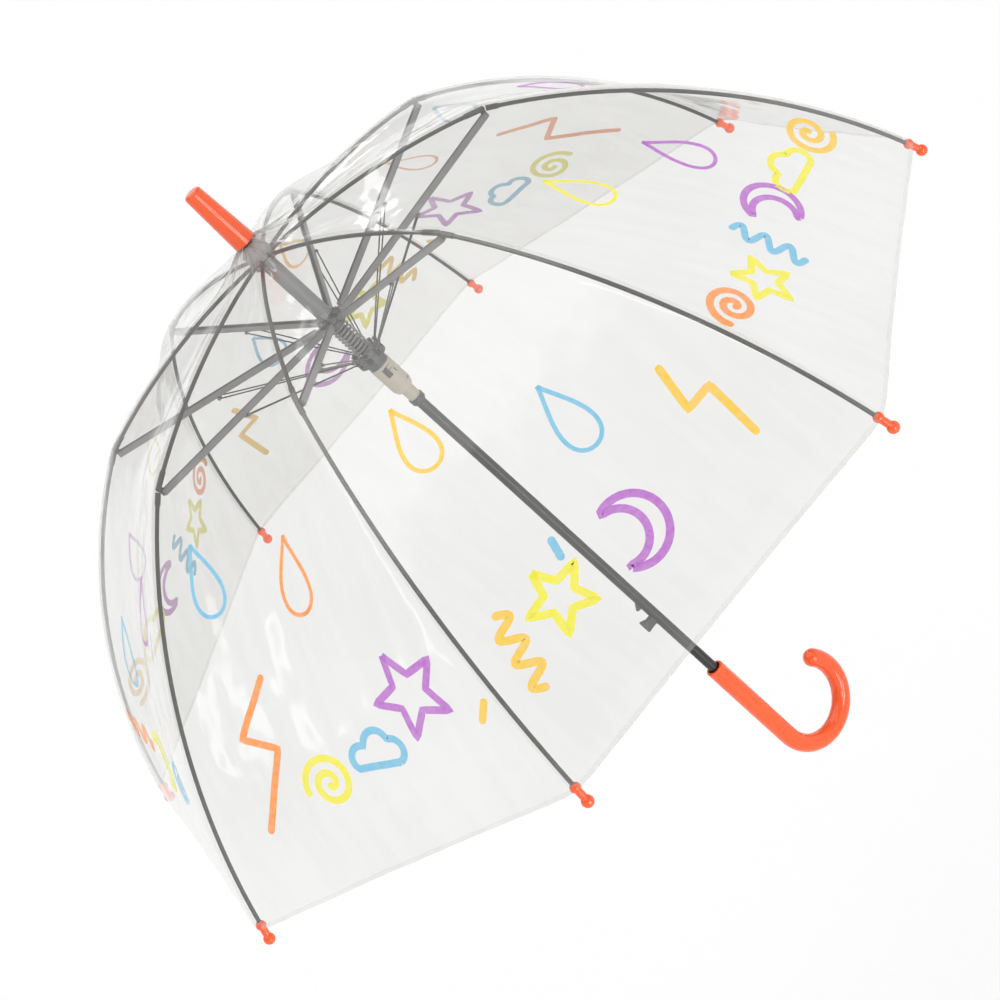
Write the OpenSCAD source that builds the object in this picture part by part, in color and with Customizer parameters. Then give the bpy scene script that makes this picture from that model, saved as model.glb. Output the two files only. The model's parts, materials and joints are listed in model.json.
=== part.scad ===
// Children's dome umbrella with a clear film canopy, eight ribs, a spring-opened frame and a J handle.
// Millimetres. +Z runs up the shaft towards the ferrule, and the origin is the middle of the hand grip.
// It is drawn open. Ribs are numbered clockwise from +X, as seen from the ferrule.

/* [Canopy] */
// Distance across the canopy, between the centres of two opposite tip balls
canopy_d = 728; // [716:1:736]
// Height of the canopy, from its top to the centres of the tip balls
canopy_h = 265; // [255:1:275]
// How far the outer part of a rib bows out from a straight line
outer_bow = 25; // [20:1:28]
// How far the inner part of a rib bows up from a straight line
inner_bow = 7; // [5:0.5:8]
// Thickness of the film
film_t = 0.3; // [0.2:0.05:0.4]

/* [Frame] */
// Distance from the shaft's axis to the rivet that joins a stretcher to its rib
rivet_r = 172.5; // [170:0.5:174]
// Depth of that rivet below the canopy's top
rivet_depth = 41.5; // [40:0.5:43]
// Radius of the circles on which ribs and stretchers pivot at the shaft
pivot_r = 7.5; // [7.4:0.05:7.6]
// Diameter of a rib
rib_d = 2.8; // [2.4:0.1:2.8]
// Distance from a stretcher's inner pivot to its link
link_reach = 88; // [84:1:92]

/* [Shaft and handle] */
// Outer diameter of the shaft
shaft_d = 8; // [7.6:0.1:8]
// Distance from the canopy's top to the middle of the grip
grip_depth = 524; // [522:1:526]
// Length of the handle's straight part
grip_l = 90; // [86:1:94]
// Diameter of the handle
handle_d = 14.6; // [14:0.1:15]
// Radius of the hook, to the middle of the handle
hook_r = 33; // [30:1:35]
// Angle that the hook turns through
hook_turn = 210; // [180:5:215]
// Direction of the hook around the shaft
hook_direction = 39; // [0:1:90]

/* [Ferrule and tips] */
// Diameter of the ferrule at the canopy
ferrule_d = 16.8; // [16:0.1:17.5]
// Length of the ferrule
ferrule_l = 49; // [46:1:52]
// Diameter of a tip ball
tip_d = 8; // [7:0.2:8.4]

/* [Runner] */
// Depth of the runner's link ring below the canopy's top
runner_depth = 108; // [107:0.5:110]
// Diameter of the runner's sleeve
sleeve_d = 16.3; // [15.6:0.1:16.6]

/* [Hidden] */
$fn = 48;
RIBS = 8;
STEP = 360 / RIBS;
rib_names = ["inner_rib", "outer_rib", "rib_tip", "stretcher", "link", "canopy_panel"];

film_colour = [0.93, 0.93, 0.92, 0.35];
plastic_orange = [0.99, 0.39, 0.18];
steel_black = [0.13, 0.13, 0.13];
steel_grey = [0.42, 0.43, 0.44];
sleeve_grey = [0.69, 0.66, 0.62];

gap = 0.4;                      // room left round moving pieces
cut = 0.5;                      // how far a cutter runs past a face
rib_r = rib_d / 2;
shaft_r = shaft_d / 2;
bore_r = shaft_r + 0.3;         // bore of what slides on the shaft
tube_wall = 0.6;

// Points in the plane of one rib are [distance from the axis, height]
function down(r, depth) = [r, grip_depth - depth];

// The frame's pivots. A stretcher is as long as the inner rib's pivots are apart,
// so the hub always stays on the shaft's axis.
crown_pivot = down(pivot_r, 9);
rivet = down(rivet_r, rivet_depth);
stretcher_l = norm(rivet - crown_pivot);
rise = atan2(crown_pivot[1] - rivet[1], rivet_r - pivot_r);
hub_pivot = [pivot_r, 2 * rivet[1] - crown_pivot[1]];
runner_pivot = down(10.4, runner_depth);
link_drop = 2.9;                // link pin below a stretcher's middle
link_pin = hub_pivot + link_reach * [cos(rise), sin(rise)] + link_drop * [sin(rise), -cos(rise)];
link_l = norm(runner_pivot - link_pin);

// The rib's line: an inner arc from the crown to the clip, and an outer one from the clip to the tip
clip_hang = 5;                  // rivet below the rib's middle
clip_slope = 19;
clip = rivet + clip_hang * [sin(clip_slope), cos(clip_slope)];
rib_start = crown_pivot + [3.5, 0];
tip = down(canopy_d / 2, canopy_h);

function unit(v) = v / norm(v);
function arc_r(a, b, bow) = (pow(norm(b - a) / 2, 2) + bow * bow) / (2 * bow);
function arc_centre(a, b, bow) =
    (a + b) / 2 + (bow - arc_r(a, b, bow)) * unit([a[1] - b[1], b[0] - a[0]]);
function bearing(v) = atan2(v[1], v[0]);
function arc_point(a, b, bow, t) =
    let (c = arc_centre(a, b, bow), from = bearing(a - c), to = bearing(b - c), turn = from + t * (to - from))
    c + arc_r(a, b, bow) * [cos(turn), sin(turn)];
// Unit vector square to the arc, away from its centre
function arc_normal(a, b, bow, t) = unit(arc_point(a, b, bow, t) - arc_centre(a, b, bow));
function inner_point(t) = arc_point(rib_start, clip, inner_bow, t);
function outer_point(t) = arc_point(clip, tip, outer_bow, t);
outer_l = 2 * asin(norm(tip - clip) / 2 / arc_r(clip, tip, outer_bow)) * arc_r(clip, tip, outer_bow) * PI / 180;
inner_l = norm(clip - rib_start);
tip_slope = -bearing(arc_normal(clip, tip, outer_bow, 1)) + 90;

// The film: a cone at the top that eases onto the ribs, then a line just outside them
film_gap = rib_r + 1.1;
cone_end = 0.27;                // share of the inner rib that the cone covers
film_rim = 1 - 15 / outer_l;    // share of the outer rib that the film covers
cone_top = down(8.8, -5.4);
cone_foot = inner_point(cone_end) + film_gap * arc_normal(rib_start, clip, inner_bow, cone_end);
cone_bend = cone_foot - 24 * [cos(5), -sin(5)];
function ease(t) = (1 - t) * (1 - t) * cone_top + 2 * t * (1 - t) * cone_bend + t * t * cone_foot;
function over_inner(t) = inner_point(t) + film_gap * arc_normal(rib_start, clip, inner_bow, t);
function over_outer(t) = outer_point(t) + film_gap * arc_normal(clip, tip, outer_bow, t);
over_clip = clip + (film_gap + 0.1)
    * unit(arc_normal(rib_start, clip, inner_bow, 1) + arc_normal(clip, tip, outer_bow, 0));
film_line = [down(4.7, -5.8), for (k = [0:3]) ease(k / 4), cone_foot,
             for (k = [1:3]) over_inner(cone_end + (0.94 - cone_end) * k / 3), over_clip,
             for (k = [0:8]) over_outer(0.03 + (film_rim - 0.03) * k / 8)];

// Depths below the canopy's top
sleeve_top = 119.5;
sleeve_foot = 145;
neck_foot = 155;
collar_foot = 160;
cup_top = 104;
cup_floor = 112;
catch_depth = 393;
button_depth = 409;
ferrule_base = -7;
handle_top = grip_depth - grip_l / 2;
catch_direction = -162;

cup_r = 11.4;
hub_r = 9.4;
hub_h = 8.4;
eye_r = 1.8;
eye_t = 1.2;
wire_r = 0.45;
eye_bore_r = 0.8;

module at_rib(i) {
    rotate([0, 0, -STEP * (i - 1)]) children();
}

module place(p) {
    translate([p[0], 0, p[1]]) children();
}

module at_depth(depth) {
    translate([0, 0, grip_depth - depth]) children();
}

// A rod along part of an arc in a rib's plane, from share t0 to share t1
module arc_rod(a, b, bow, t0, t1, r) {
    c = arc_centre(a, b, bow);
    from = bearing(arc_point(a, b, bow, t1) - c);
    to = bearing(arc_point(a, b, bow, t0) - c);
    place(c) rotate([90, 0, 0]) rotate([0, 0, from])
        rotate_extrude(angle = to - from, $fn = 96) translate([arc_r(a, b, bow), 0]) circle(r, $fn = 24);
}

// A disc square to a rib's plane
module disc(r, width) {
    rotate([90, 0, 0]) cylinder(r = r, h = width, center = true, $fn = 24);
}

module tube(depth_top, depth_foot, r_out, r_in) {
    at_depth(depth_foot) difference() {
        cylinder(r = r_out, h = depth_foot - depth_top);
        translate([0, 0, -cut]) cylinder(r = r_in, h = depth_foot - depth_top + 2 * cut);
    }
}

module shaft_tube() color(steel_black) {
    top = -48;
    foot = handle_top + 40;
    difference() {
        tube(top, foot, shaft_r, shaft_r - tube_wall);
        rotate([0, 0, catch_direction]) {
            at_depth(catch_depth + 6.5) translate([0, -1.6, 0]) cube([8, 3.2, 8]);
            at_depth(button_depth + 8.5) translate([0, -2.6, 0]) cube([8, 5.2, 10]);
        }
    }
}

module handle() color(plastic_orange) {
    tube_r = handle_d / 2;
    recess_r = 5.4;
    rim_r = 1.2;
    difference() {
        union() {
            at_depth(handle_top + grip_l) rotate_extrude()
                polygon([[0, 0], [tube_r, 0], [tube_r, grip_l - rim_r],
                         for (a = [0:15:90]) [tube_r - rim_r + rim_r * cos(a), grip_l - rim_r + rim_r * sin(a)],
                         [0, grip_l]]);
            rotate([0, 0, hook_direction]) translate([hook_r, 0, -grip_l / 2]) {
                rotate([90, 0, 0]) rotate([0, 0, 180])
                    rotate_extrude(angle = hook_turn, $fn = 96) translate([hook_r, 0]) circle(tube_r);
                rotate([0, 180 - hook_turn, 0]) translate([hook_r, 0, 0]) sphere(tube_r);
            }
        }
        at_depth(handle_top + 40) cylinder(r = shaft_r, h = 41);
        at_depth(handle_top + 7) cylinder(r = recess_r, h = 8);
    }
}

module ferrule() color(plastic_orange) {
    tip_r = 6.6;
    dome_r = 2.4;
    at_depth(ferrule_base) difference() {
        rotate_extrude()
            polygon([[0, 0], [ferrule_d / 2 - 0.5, 0], [ferrule_d / 2, 0.5], [tip_r, ferrule_l - dome_r],
                     for (a = [15:15:90]) [tip_r - dome_r + dome_r * cos(a), ferrule_l - dome_r + dome_r * sin(a)],
                     [0, ferrule_l]]);
        translate([0, 0, -cut]) cylinder(r = shaft_r, h = 41 + cut);
    }
}

// A notched disc with a slot for each rib's eye and a groove for the ring of wire through the eyes
module notched_disc(r, h, below, slot_from, slot_foot, slot_h, wire_z) {
    difference() {
        translate([0, 0, -below]) cylinder(r = r, h = h);
        for (i = [1:RIBS]) at_rib(i)
            translate([slot_from, -eye_t / 2 - gap, slot_foot]) cube([r, eye_t + 2 * gap, slot_h]);
        translate([0, 0, wire_z]) rotate_extrude()
            translate([pivot_r - wire_r - 0.15, -wire_r - 0.15]) square([r, 2 * wire_r + 0.3]);
    }
}

module crown_notch() color(steel_black) {
    r = 9.6;
    difference() {
        union() {
            at_depth(9) notched_disc(r, 13, 4, pivot_r - eye_r - gap, -4.5, eye_r + gap + 4.5, 0);
            at_depth(0) cylinder(r1 = 8.6, r2 = 4.8, h = 4.4);
        }
        at_depth(30) cylinder(r = shaft_r, h = 40);
    }
}

module top_sleeve() color(steel_grey)
    tube(13.2, hub_depth() - 6, 5.8, shaft_r);

function hub_depth() = grip_depth - hub_pivot[1];

module stretcher_hub() color(steel_black) difference() {
    at_depth(hub_depth()) notched_disc(hub_r, hub_h, hub_h / 2, pivot_r - eye_r - gap, -eye_r - gap, 8, 0);
    at_depth(hub_depth() + 10) cylinder(r = bore_r, h = 20);
}

// Turns of the opening spring, between the hub and the floor of the runner's cup
module opening_spring() {
    top = hub_depth() + hub_h / 2 + 0.3;
    foot = cup_floor - 0.3;
    turns = 9;
    wire = 0.7;
    coil_r = 6.3;
    sides = 6;
    per_turn = 12;
    rings = turns * per_turn;
    height = foot - top - 2 * wire;
    function ring(k) = let (turn = 360 * k / per_turn) [for (s = [0:sides - 1])
        let (r = coil_r + wire * cos(360 * s / sides))
        [r * cos(turn), r * sin(turn), wire + height * k / rings + wire * sin(360 * s / sides)]];
    color(steel_grey) at_depth(foot) polyhedron(
        points = [for (k = [0:rings]) each ring(k)],
        faces = [[for (s = [0:sides - 1]) s],
                 for (k = [0:rings - 1]) for (s = [0:sides - 1])
                     [k * sides + s, (k + 1) * sides + s, (k + 1) * sides + (s + 1) % sides, k * sides + (s + 1) % sides],
                 [for (s = [sides - 1:-1:0]) rings * sides + s]]);
}

module runner_cup() color(steel_black) difference() {
    union() {
        tube(cup_top, cup_floor + 2, cup_r, bore_r);
        tube(cup_floor + 1, sleeve_top, sleeve_d / 2 - 0.3, bore_r);
    }
    at_depth(cup_floor) cylinder(r = hub_r + 0.3, h = 20);
    for (i = [1:RIBS]) at_rib(i) at_depth(cup_floor) translate([hub_r, -2, 0]) cube([5, 4, 20]);
    at_depth(runner_depth) rotate_extrude()
        translate([runner_pivot[0] - wire_r - 0.15, -wire_r - 0.15]) square([5, 2 * wire_r + 0.3]);
}

// The sleeve has a window near its top, and a keyway that the catch runs in
module runner_sleeve() color(sleeve_grey) {
    neck_r = 5;
    sleeve_r = sleeve_d / 2;
    difference() {
        at_depth(neck_foot) rotate_extrude()
            polygon([[bore_r, 0], [neck_r, 0], [neck_r, neck_foot - sleeve_foot],
                     [sleeve_r - 1.4, neck_foot - sleeve_foot], [sleeve_r, neck_foot - sleeve_foot + 3.5],
                     [sleeve_r, neck_foot - sleeve_top - 0.4], [sleeve_r - 0.4, neck_foot - sleeve_top],
                     [bore_r, neck_foot - sleeve_top]]);
        at_depth(neck_foot + cut) rotate([0, 0, catch_direction]) translate([0, -1.9, 0])
            cube([sleeve_r, 3.8, neck_foot - sleeve_foot + cut + 0.1]);
        rotate([0, 0, -58]) at_depth(sleeve_top + 6) translate([sleeve_r - 0.9, -5, 0]) difference() {
            cube([3, 10, 4]);
            translate([-cut, 1, 1]) cube([4, 8, 2]);
        }
        rotate([0, 0, -20]) at_depth(sleeve_foot - 5) translate([sleeve_r - 0.9, -1.5, 0]) cube([3, 3, 1.2]);
    }
}

module runner_collar() color(steel_black) difference() {
    at_depth(collar_foot) rotate_extrude()
        polygon([[bore_r, 0], [5, 0], [5.8, 1.2], [5.8, collar_foot - neck_foot], [bore_r, collar_foot - neck_foot]]);
    at_depth(collar_foot + cut) rotate([0, 0, catch_direction]) translate([0, -1.9, 0]) cube([9, 3.8, 6.5]);
}

// The catch is a hooked tongue inside the shaft; the button beside it presses it in
module catch() color(steel_grey) rotate([0, 0, catch_direction]) rotate([90, 0, 0])
    linear_extrude(2.2, center = true) polygon([
        down(1.4, catch_depth - 8), down(2.8, catch_depth - 8), down(2.8, catch_depth - 1), down(4.4, catch_depth),
        down(7.4, catch_depth + 4.4), down(6.8, catch_depth + 5.4), down(4.4, catch_depth + 5.8),
        down(2.8, catch_depth + 6), down(2.8, button_depth + 9), down(1.4, button_depth + 9)]);

module release_button() color(steel_grey) rotate([0, 0, catch_direction]) rotate([90, 0, 0])
    linear_extrude(4.2, center = true) polygon([
        down(2.8, button_depth), down(7.6, button_depth), down(12.2, button_depth - 2.2),
        down(13, button_depth - 1.2), down(13, button_depth + 6.6), down(12.2, button_depth + 7.6),
        down(7.6, button_depth + 7), down(2.8, button_depth + 7)]);

// The inner rib: an eye at the crown, the rib, and the clip with the tab that the stretcher hangs from
module inner_rib(i) color(steel_black) at_rib(i) {
    clip_l = 12 / inner_l;
    difference() {
        union() {
            place(crown_pivot) disc(eye_r, eye_t);
            place(crown_pivot) translate([0, -eye_t / 2, -1.2]) cube([5.5, eye_t, 2.4]);
            arc_rod(rib_start, clip, inner_bow, 0.01, 1, rib_r);
            arc_rod(rib_start, clip, inner_bow, 1 - clip_l, 1, rib_r + 0.5);
            place(clip) sphere(rib_r + 0.6);
            place(rivet) disc(2, eye_t);
            place(rivet) rotate([0, clip_slope, 0]) translate([-1.8, -eye_t / 2, 0]) cube([3.6, eye_t, clip_hang]);
        }
        place(crown_pivot) disc(eye_bore_r, 5);
        place(rivet) disc(0.9, 5);
    }
}

module outer_rib(i) color(steel_black) at_rib(i) {
    room = (rib_r + 1.2) / outer_l;
    arc_rod(clip, tip, outer_bow, room, 1 - 5 / outer_l, rib_r);
    arc_rod(clip, tip, outer_bow, room, 11 / outer_l, rib_r + 0.5);
}

// A lobe that holds the film, a neck and a ball, pushed onto the rib's end
module rib_tip(i) color(plastic_orange) at_rib(i) place(tip) rotate([0, tip_slope - 90, 0]) difference() {
    union() {
        sphere(tip_d / 2);
        cylinder(r = 2.5, h = 12);
        translate([0, 0, 10.5]) sphere(3.5);
    }
    translate([0, 0, 4.5]) cylinder(r = rib_r + 0.35, h = 20);
}

// A U channel, open on top, with an eye at the hub, a riveted fork at the rib and a pin for the link
module stretcher(i) color(steel_black) at_rib(i) place(hub_pivot) rotate([0, -rise, 0]) {
    width = 3.8;
    depth = 4.2;
    wall = 0.6;
    difference() {
        union() {
            disc(eye_r, eye_t);
            translate([0, -eye_t / 2, -1.2]) cube([8, eye_t, 2.4]);
            difference() {
                translate([6, -width / 2, -depth / 2]) cube([stretcher_l + 2 - 6, width, depth]);
                translate([7.5, -width / 2 + wall, -depth / 2 + wall]) cube([stretcher_l, width - 2 * wall, depth]);
                translate([stretcher_l - 5, -width / 2 + wall, -depth]) cube([10, width - 2 * wall, 2 * depth]);
            }
            translate([link_reach - 1.6, -1, -link_drop - 0.9]) cube([3.2, 2, link_drop + 0.9 - depth / 2 + wall]);
            translate([link_reach, 0, -link_drop]) disc(0.6, 6.6);
            translate([stretcher_l, 0, 0]) disc(0.7, width + 1);
        }
        disc(eye_bore_r, 5);
    }
}

// A hairpin of wire: two legs that hook onto the stretcher's pin and close at the runner's ring
module link(i) color(steel_black) at_rib(i) {
    fall = bearing(runner_pivot - link_pin);
    leg_r = 0.5;
    spread = 2.65;
    knuckle = link_l - 2.1;
    place(link_pin) rotate([0, -fall, 0]) {
        for (side = [-1, 1]) {
            translate([0, side * spread, 0]) difference() {
                disc(1.3, 1);
                disc(0.8, 3);
            }
            lean = atan2(spread - 0.7, knuckle);
            translate([1, side * spread, 0]) rotate([0, 0, -side * lean]) rotate([0, 90, 0])
                cylinder(r = leg_r, h = knuckle - 0.6, $fn = 24);
        }
        translate([knuckle, 0, 0]) disc(1.1, 2.4);
    }
}

// A canopy panel: the film between rib i and the next one, straight across from rib to rib
module canopy_panel(i) {
    n = len(film_line);
    slit = 0.15;
    function edge(p, side) = let (turn = -STEP * (i - 1 + side), away = turn - (side == 0 ? 90 : -90))
        [p[0] * cos(turn) + slit * cos(away), p[0] * sin(turn) + slit * sin(away)];
    function row(k, lift) = let (p = film_line[k], along = film_line[min(k + 1, n - 1)] - film_line[max(k - 1, 0)],
                                 q = p + lift * unit([-along[1], along[0]]))
        [for (side = [0, 1]) let (e = edge(q, side)) [e[0], e[1], q[1]]];
    points = [for (k = [0:n - 1]) each concat(row(k, 0), row(k, film_t))];
    color(film_colour) polyhedron(points = points, faces = [
        for (k = [0:n - 2]) let (a = 4 * k, b = 4 * k + 4) each [
            [a, b, a + 1], [b, b + 1, a + 1], [a + 2, a + 3, b + 2], [b + 2, a + 3, b + 3],
            [a, a + 2, b], [b, a + 2, b + 2], [a + 1, b + 1, a + 3], [b + 1, b + 3, a + 3]],
        [0, 1, 2], [1, 3, 2],
        let (e = 4 * (n - 1)) each [[e, e + 2, e + 1], [e + 1, e + 2, e + 3]]]);
}

shaft_tube();
handle();
ferrule();
crown_notch();
top_sleeve();
stretcher_hub();
opening_spring();
runner_cup();
runner_sleeve();
runner_collar();
catch();
release_button();
for (i = [1:RIBS]) {
    inner_rib(i);
    outer_rib(i);
    rib_tip(i);
    stretcher(i);
    link(i);
    canopy_panel(i);
}
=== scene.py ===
"""The looks of a children's dome umbrella: its film canopy, drawings, seams, small fittings and finishes."""

import functools
import json
import math
import random

import bpy
import bmesh
import numpy as np
from bpy.props import FloatProperty, FloatVectorProperty, IntProperty, PointerProperty
from mathutils import Matrix, Quaternion, Vector, noise

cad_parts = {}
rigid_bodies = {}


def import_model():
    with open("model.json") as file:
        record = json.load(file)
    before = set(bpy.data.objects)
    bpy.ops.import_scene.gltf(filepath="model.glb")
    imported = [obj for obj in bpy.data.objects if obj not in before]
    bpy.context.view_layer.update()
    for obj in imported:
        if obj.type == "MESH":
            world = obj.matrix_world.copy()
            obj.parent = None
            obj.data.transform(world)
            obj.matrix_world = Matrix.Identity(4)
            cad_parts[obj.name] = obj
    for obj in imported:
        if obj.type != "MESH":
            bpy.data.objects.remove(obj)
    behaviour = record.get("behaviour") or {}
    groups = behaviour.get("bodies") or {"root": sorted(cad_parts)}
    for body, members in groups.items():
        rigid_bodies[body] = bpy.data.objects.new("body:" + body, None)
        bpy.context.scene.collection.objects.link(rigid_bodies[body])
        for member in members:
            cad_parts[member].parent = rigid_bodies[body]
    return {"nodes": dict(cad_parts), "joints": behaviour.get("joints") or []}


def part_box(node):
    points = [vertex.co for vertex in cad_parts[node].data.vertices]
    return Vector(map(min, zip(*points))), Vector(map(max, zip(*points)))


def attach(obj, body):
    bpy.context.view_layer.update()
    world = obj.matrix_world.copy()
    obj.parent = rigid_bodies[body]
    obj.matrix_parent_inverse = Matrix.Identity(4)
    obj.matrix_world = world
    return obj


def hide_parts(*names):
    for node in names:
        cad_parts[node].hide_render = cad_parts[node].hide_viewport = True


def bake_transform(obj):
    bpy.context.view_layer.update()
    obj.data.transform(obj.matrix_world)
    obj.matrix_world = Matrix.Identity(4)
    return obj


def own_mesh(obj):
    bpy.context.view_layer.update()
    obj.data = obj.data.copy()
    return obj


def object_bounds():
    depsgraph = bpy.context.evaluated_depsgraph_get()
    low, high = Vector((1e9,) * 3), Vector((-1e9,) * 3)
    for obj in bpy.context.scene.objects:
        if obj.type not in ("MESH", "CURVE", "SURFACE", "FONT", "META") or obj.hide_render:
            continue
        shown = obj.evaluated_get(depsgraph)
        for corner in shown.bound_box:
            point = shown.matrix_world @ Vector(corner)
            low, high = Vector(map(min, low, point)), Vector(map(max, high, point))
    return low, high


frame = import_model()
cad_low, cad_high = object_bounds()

bl_info = {
    "name": "Children's dome umbrella",
    "version": (1, 0, 0),
    "blender": (4, 5, 0),
    "location": "View3D > Sidebar > Umbrella",
    "description": "Builds the canopy, prints, fittings, finishes and stage of a children's dome umbrella",
    "category": "Object",
}

MM = 0.001
RIBS = 8
STEP = 2 * math.pi / RIBS
HALF = STEP / 2  # from a rib to the middle of a panel
JOINTS = {joint["name"]: joint for joint in frame["joints"]}


# ---- sizes

def a_length(name, description, default, least, most):
    """A setting that is a length in metres."""
    return FloatProperty(name=name, description=description, default=default, min=least, max=most,
                         unit="LENGTH")


def an_amount(name, description, default, most):
    """A setting that is a plain number from nought up."""
    return FloatProperty(name=name, description=description, default=default, min=0, max=most)


def a_colour(name, description, default):
    """A setting that is a colour."""
    return FloatVectorProperty(name=name, description=description, default=default, min=0, max=1,
                               subtype="COLOR")


class CanopySizes(bpy.types.PropertyGroup):
    """Sizes of the film canopy"""
    inner_bow: a_length(
        "Inner bow", "How far the inner part of a rib bows up from a straight line", 7 * MM, 5 * MM, 8 * MM)
    outer_bow: a_length(
        "Outer bow", "How far the outer part of a rib bows out from a straight line",
        25 * MM, 20 * MM, 28 * MM)
    lift: a_length(
        "Film above rib", "Distance from a rib's middle to the film over it", 2.5 * MM, 2 * MM, 4 * MM)
    fold: a_length(
        "Fold over a rib", "How wide the film bends where it passes over a rib", 7 * MM, 1 * MM, 12 * MM)
    sag: a_length(
        "Panel sag", "How far the middle of a panel is pulled in between its ribs", 5 * MM, 0, 10 * MM)
    ripple: a_length(
        "Ripple height", "Height of the soft ripples left in the film by folding", 0.9 * MM, 0, 2 * MM)
    pleat: a_length(
        "Pleat height", "Height of the pleats where the film gathers at the crown", 1.3 * MM, 0, 3 * MM)
    seam_width: a_length("Seam width", "Width of the welded seam along each rib", 5 * MM, 4 * MM, 12 * MM)
    hem_width: a_length("Hem width", "Width of the welded hem along the rim", 3 * MM, 2 * MM, 8 * MM)
    collar: a_length(
        "Collar length", "Length of the film round the crown, which bends from the ferrule to the ribs",
        24 * MM, 22 * MM, 30 * MM)
    keep: FloatProperty(
        name="Folded width", description="Share of its width that half a panel keeps when shut",
        default=0.03, min=0.02, max=0.3, subtype="FACTOR")


class PrintSizes(bpy.types.PropertyGroup):
    """Sizes and inks of the printed drawings"""
    drop_stroke: a_length("Drop stroke", "Line width of the raindrop outlines", 2.8 * MM, 2 * MM, 8 * MM)
    doodle_stroke: a_length("Doodle stroke", "Line width of the larger drawings", 5 * MM, 3 * MM, 10 * MM)
    ink_lift: a_length("Ink height", "How far the ink stands above the film", 0.25 * MM, 0.1 * MM, 1 * MM)
    orange: a_colour("Orange ink", "Colour of the orange ink", (1.0, 0.30, 0.02))
    amber: a_colour("Amber ink", "Colour of the amber ink", (0.97, 0.60, 0.015))
    yellow: a_colour("Yellow ink", "Colour of the yellow ink", (0.93, 0.86, 0.01))
    sky: a_colour("Sky blue ink", "Colour of the sky blue ink", (0.16, 0.53, 0.76))
    purple: a_colour("Purple ink", "Colour of the purple ink", (0.50, 0.13, 0.60))


class Finishes(bpy.types.PropertyGroup):
    """Colours of the plastic and metal"""
    orange_plastic: a_colour("Orange plastic", "Handle, ferrule and tips", (0.88, 0.092, 0.008))
    black_paint: a_colour("Black paint", "Shaft, ribs, links and catch", (0.013, 0.013, 0.012))
    grey_paint: a_colour("Grey paint", "Stretchers", (0.16, 0.16, 0.162))
    # The dark plastic also colours the plates in the runner's window and slit, which are painted shade
    dark_plastic: a_colour(
        "Dark plastic", "Hub, cup, collar, button and the runner's window", (0.035, 0.036, 0.040))
    pale_plastic: a_colour("Pale plastic", "Runner's sleeve", (0.45, 0.40, 0.33))
    grey_plastic: a_colour("Grey plastic", "Crown notch and the sleeve under it", (0.19, 0.20, 0.20))
    film: a_colour("Film", "Milkiness of the clear film", (0.41, 0.40, 0.375))


class StageSizes(bpy.types.PropertyGroup):
    """Camera, light and floor"""
    camera_place: FloatVectorProperty(
        name="Camera place", description="Where the camera stands", subtype="XYZ",
        default=(0.4099, -1.3689, 0.913), unit="LENGTH")
    camera_aim: FloatVectorProperty(
        name="Camera aim", description="The point at the middle of the picture", subtype="XYZ",
        default=(0.0049, -0.063, 0.2962), unit="LENGTH")
    camera_roll: FloatProperty(
        name="Camera roll", description="Turn of the camera about its line of sight",
        default=math.radians(-48.0), subtype="ANGLE")
    lens: FloatProperty(
        name="Lens", description="Focal length on a 36 mm sensor", default=79.5, min=20, max=200)
    floor_drop: a_length("Floor drop", "How far the floor lies below the handle", 0.7, 0, 2)
    horizon_light: an_amount("Horizon light", "Strength of the white surround near the horizon", 1.15, 3)
    wall_light: an_amount("Wall light", "Strength of the duller surround halfway up", 0.58, 3)
    ceiling_light: an_amount("Ceiling light", "Strength of the large soft light overhead", 2.02, 4)
    strip_power: an_amount("Strip light power", "Power of each high strip light, in watts", 2, 60)
    low_strip_power: an_amount(
        "Low strip light power", "Power of each low strip light, in watts, for the long highlights", 9, 60)
    high_strips: IntProperty(
        name="High strip lights", description="How many high strip lights stand round the object",
        default=3, min=1, max=6)


SETTINGS = {
    "umbrella_canopy": CanopySizes,
    "umbrella_print": PrintSizes,
    "umbrella_finishes": Finishes,
    "umbrella_stage": StageSizes,
}


def canopy():
    return bpy.context.scene.umbrella_canopy


# ---- the film's shape

def rib_plane(name):
    """A joint's place in rib 1's plane: distance from the shaft's axis, and height."""
    x, _, z = JOINTS[name]["pos_m"]
    return np.array([x, z])


def unit(v):
    return v / np.linalg.norm(v)


def arc(a, b, bow, count):
    """Points along an arc from a to b that bows out from the straight line, and its outward normals."""
    chord = np.linalg.norm(b - a)
    radius = ((chord / 2) ** 2 + bow ** 2) / (2 * bow)
    out = unit(np.array([a[1] - b[1], b[0] - a[0]]))
    centre = (a + b) / 2 + (bow - radius) * out
    start, end = (math.atan2(*(p - centre)[::-1]) for p in (a, b))
    turn = np.linspace(start, end, count)
    normals = np.stack([np.cos(turn), np.sin(turn)], axis=1)
    return centre + radius * normals, normals


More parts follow.
